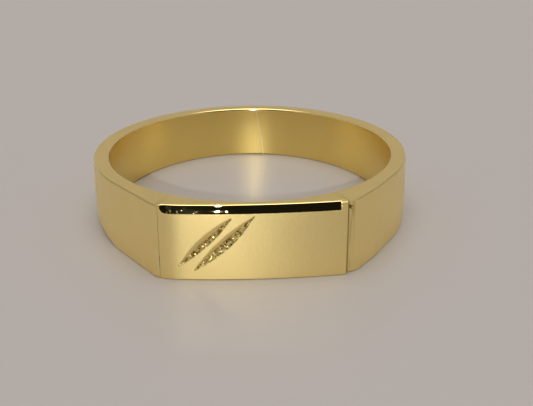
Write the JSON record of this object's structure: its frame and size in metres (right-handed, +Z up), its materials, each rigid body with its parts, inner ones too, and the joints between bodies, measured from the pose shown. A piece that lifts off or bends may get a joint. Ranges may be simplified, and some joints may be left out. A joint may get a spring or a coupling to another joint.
{
  "type": "signet ring",
  "caption": "Plain gold signet ring lying on its side: tapered strip shank with flat shoulders and a crowned front plate with a bevel and slanting engraved cuts.",
  "frame": {"origin": "where the axis of the finger bore meets the surface that the ring lies on", "axes": "+Z up, out of the surface that the ring lies on; -Y towards the signet face; +X to the right of someone looking at the face"},
  "size_m": [0.021, 0.0209, 0.0049],
  "materials": {
    "gold": "satin",
    "plate_gold": "satin with bright cuts",
    "solder": "satin"
  },
  "bodies": {
    "root": {"shank": "gold", "signet_plate": "plate_gold", "plate_solder": "solder", "shank_seam_solder": "solder"}
  },
  "joints": []
}
